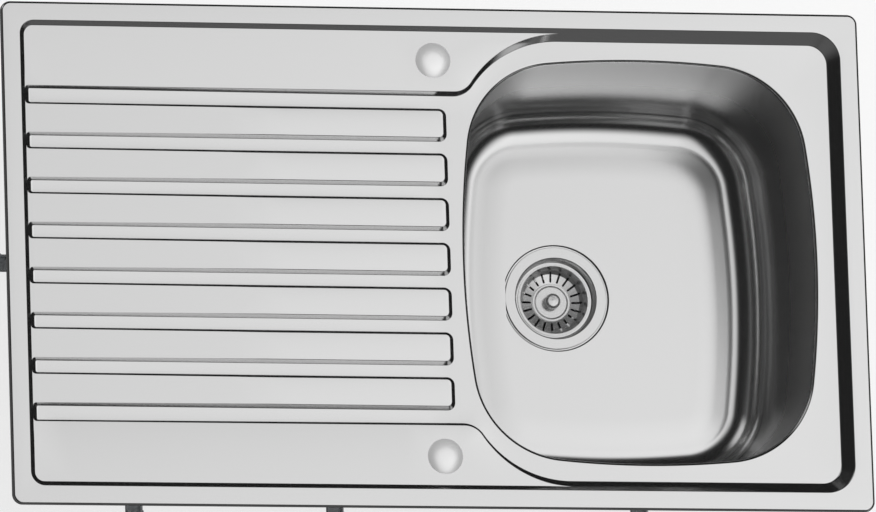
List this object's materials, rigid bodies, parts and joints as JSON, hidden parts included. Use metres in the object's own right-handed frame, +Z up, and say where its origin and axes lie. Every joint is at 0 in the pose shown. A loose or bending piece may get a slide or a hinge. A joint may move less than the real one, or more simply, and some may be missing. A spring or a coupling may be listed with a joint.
{
  "type": "kitchen sink with drainboard",
  "caption": "Inset stainless steel kitchen sink with one rounded bowl, a ribbed drainboard, a basket strainer waste and worktop clips.",
  "frame": {"origin": "plan centre of the sink, on the worktop's surface that the rim seal rests on", "axes": "+X from the drainboard to the bowl, +Y to the back, +Z up"},
  "size_m": [0.86, 0.5, 0.272],
  "materials": {
    "satin_steel": "fine satin, pressed sheet",
    "polished_steel": "polished, pressed and turned",
    "screw_steel": "bright plated",
    "zinc_sheet": "zinc plated, dull",
    "black_rubber": "moulded, matt",
    "seal_foam": "closed-cell foam strip",
    "sound_pad": "heavy damping sheet",
    "white_plastic": "moulded, fine matt"
  },
  "bodies": {
    "sink": {"drainboard_top": "satin_steel", "bowl": "satin_steel", "back_tap_knockout": "satin_steel", "front_tap_knockout": "satin_steel", "rim_seal": "seal_foam", "bowl_sound_pad": "sound_pad", "earth_tag": "zinc_sheet", "waste_flange": "polished_steel", "flange_seal": "black_rubber", "body_seal": "black_rubber", "waste_body": "white_plastic", "centre_screw": "screw_steel", "back_clip_rails": "zinc_sheet", "front_clip_rails": "zinc_sheet", "left_clip_rail": "zinc_sheet", "right_clip_rail": "zinc_sheet"},
    "basket": {"strainer_basket": "polished_steel", "basket_knob": "polished_steel", "basket_stem": "polished_steel", "stopper_plate": "white_plastic", "stopper_seal": "black_rubber", "stem_nut": "screw_steel"},
    "back_left_bolt": {"back_left_clip_bolt": "screw_steel"},
    "back_left_claw": {"back_left_clip_claw": "zinc_sheet"},
    "back_left_nut": {"back_left_wing_nut": "screw_steel"},
    "back_middle_bolt": {"back_middle_clip_bolt": "screw_steel"},
    "back_middle_claw": {"back_middle_clip_claw": "zinc_sheet"},
    "back_middle_nut": {"back_middle_wing_nut": "screw_steel"},
    "back_right_bolt": {"back_right_clip_bolt": "screw_steel"},
    "back_right_claw": {"back_right_clip_claw": "zinc_sheet"},
    "back_right_nut": {"back_right_wing_nut": "screw_steel"},
    "front_left_bolt": {"front_left_clip_bolt": "screw_steel"},
    "front_left_claw": {"front_left_clip_claw": "zinc_sheet"},
    "front_left_nut": {"front_left_wing_nut": "screw_steel"},
    "front_middle_bolt": {"front_middle_clip_bolt": "screw_steel"},
    "front_middle_claw": {"front_middle_clip_claw": "zinc_sheet"},
    "front_middle_nut": {"front_middle_wing_nut": "screw_steel"},
    "front_right_bolt": {"front_right_clip_bolt": "screw_steel"},
    "front_right_claw": {"front_right_clip_claw": "zinc_sheet"},
    "front_right_nut": {"front_right_wing_nut": "screw_steel"},
    "left_end_bolt": {"left_end_clip_bolt": "screw_steel"},
    "left_end_claw": {"left_end_clip_claw": "zinc_sheet"},
    "left_end_nut": {"left_end_wing_nut": "screw_steel"},
    "right_end_bolt": {"right_end_clip_bolt": "screw_steel"},
    "right_end_claw": {"right_end_clip_claw": "zinc_sheet"},
    "right_end_nut": {"right_end_wing_nut": "screw_steel"}
  },
  "joints": [
    {"name": "basket_lift", "type": "slide", "parent": "sink", "child": "basket", "axis": [0, 0, 1], "range_m": [0, 0.23]},
    {"name": "back_left_bolt_slide", "type": "slide", "parent": "sink", "child": "back_left_bolt", "axis": [1, 0, 0], "range_m": [-0.02, 0.02]},
    {"name": "back_left_claw_rise", "type": "slide", "parent": "back_left_bolt", "child": "back_left_claw", "axis": [0, 0, 1], "range_m": [0, 0.014]},
    {"name": "back_left_nut_turn", "type": "hinge", "parent": "back_left_claw", "child": "back_left_nut", "pos_m": [-0.3, 0.215, -0.058], "axis": [0, 0, 1], "range_deg": [0, 6300]},
    {"name": "back_middle_bolt_slide", "type": "slide", "parent": "sink", "child": "back_middle_bolt", "axis": [1, 0, 0], "range_m": [-0.02, 0.02]},
    {"name": "back_middle_claw_rise", "type": "slide", "parent": "back_middle_bolt", "child": "back_middle_claw", "axis": [0, 0, 1], "range_m": [0, 0.014]},
    {"name": "back_middle_nut_turn", "type": "hinge", "parent": "back_middle_claw", "child": "back_middle_nut", "pos_m": [-0.1, 0.215, -0.058], "axis": [0, 0, 1], "range_deg": [0, 6300]},
    {"name": "back_right_bolt_slide", "type": "slide", "parent": "sink", "child": "back_right_bolt", "axis": [1, 0, 0], "range_m": [-0.02, 0.02]},
    {"name": "back_right_claw_rise", "type": "slide", "parent": "back_right_bolt", "child": "back_right_claw", "axis": [0, 0, 1], "range_m": [0, 0.014]},
    {"name": "back_right_nut_turn", "type": "hinge", "parent": "back_right_claw", "child": "back_right_nut", "pos_m": [0.205, 0.212, -0.058], "axis": [0, 0, 1], "range_deg": [0, 6300]},
    {"name": "front_left_bolt_slide", "type": "slide", "parent": "sink", "child": "front_left_bolt", "axis": [1, 0, 0], "range_m": [-0.02, 0.02]},
    {"name": "front_left_claw_rise", "type": "slide", "parent": "front_left_bolt", "child": "front_left_claw", "axis": [0, 0, 1], "range_m": [0, 0.014]},
    {"name": "front_left_nut_turn", "type": "hinge", "parent": "front_left_claw", "child": "front_left_nut", "pos_m": [-0.3, -0.215, -0.058], "axis": [0, 0, 1], "range_deg": [0, 6300]},
    {"name": "front_middle_bolt_slide", "type": "slide", "parent": "sink", "child": "front_middle_bolt", "axis": [1, 0, 0], "range_m": [-0.02, 0.02]},
    {"name": "front_middle_claw_rise", "type": "slide", "parent": "front_middle_bolt", "child": "front_middle_claw", "axis": [0, 0, 1], "range_m": [0, 0.014]},
    {"name": "front_middle_nut_turn", "type": "hinge", "parent": "front_middle_claw", "child": "front_middle_nut", "pos_m": [-0.1, -0.215, -0.058], "axis": [0, 0, 1], "range_deg": [0, 6300]},
    {"name": "front_right_bolt_slide", "type": "slide", "parent": "sink", "child": "front_right_bolt", "axis": [1, 0, 0], "range_m": [-0.02, 0.02]},
    {"name": "front_right_claw_rise", "type": "slide", "parent": "front_right_bolt", "child": "front_right_claw", "axis": [0, 0, 1], "range_m": [0, 0.014]},
    {"name": "front_right_nut_turn", "type": "hinge", "parent": "front_right_claw", "child": "front_right_nut", "pos_m": [0.205, -0.212, -0.058], "axis": [0, 0, 1], "range_deg": [0, 6300]},
    {"name": "left_end_bolt_slide", "type": "slide", "parent": "sink", "child": "left_end_bolt", "axis": [0, 1, 0], "range_m": [-0.02, 0.02]},
    {"name": "left_end_claw_rise", "type": "slide", "parent": "left_end_bolt", "child": "left_end_claw", "axis": [0, 0, 1], "range_m": [0, 0.014]},
    {"name": "left_end_nut_turn", "type": "hinge", "parent": "left_end_claw", "child": "left_end_nut", "pos_m": [-0.396, 0, -0.058], "axis": [0, 0, 1], "range_deg": [0, 6300]},
    {"name": "right_end_bolt_slide", "type": "slide", "parent": "sink", "child": "right_end_bolt", "axis": [0, 1, 0], "range_m": [-0.02, 0.02]},
    {"name": "right_end_claw_rise", "type": "slide", "parent": "right_end_bolt", "child": "right_end_claw", "axis": [0, 0, 1], "range_m": [0, 0.014]},
    {"name": "right_end_nut_turn", "type": "hinge", "parent": "right_end_claw", "child": "right_end_nut", "pos_m": [0.392, 0, -0.058], "axis": [0, 0, 1], "range_deg": [0, 6300]}
  ],
  "couplings": [
    {"joint": "back_left_nut_turn", "follows": "back_left_claw_rise", "rad_per_m": 7854},
    {"joint": "back_middle_nut_turn", "follows": "back_middle_claw_rise", "rad_per_m": 7854},
    {"joint": "back_right_nut_turn", "follows": "back_right_claw_rise", "rad_per_m": 7854},
    {"joint": "front_left_nut_turn", "follows": "front_left_claw_rise", "rad_per_m": 7854},
    {"joint": "front_middle_nut_turn", "follows": "front_middle_claw_rise", "rad_per_m": 7854},
    {"joint": "front_right_nut_turn", "follows": "front_right_claw_rise", "rad_per_m": 7854},
    {"joint": "left_end_nut_turn", "follows": "left_end_claw_rise", "rad_per_m": 7854},
    {"joint": "right_end_nut_turn", "follows": "right_end_claw_rise", "rad_per_m": 7854}
  ]
}
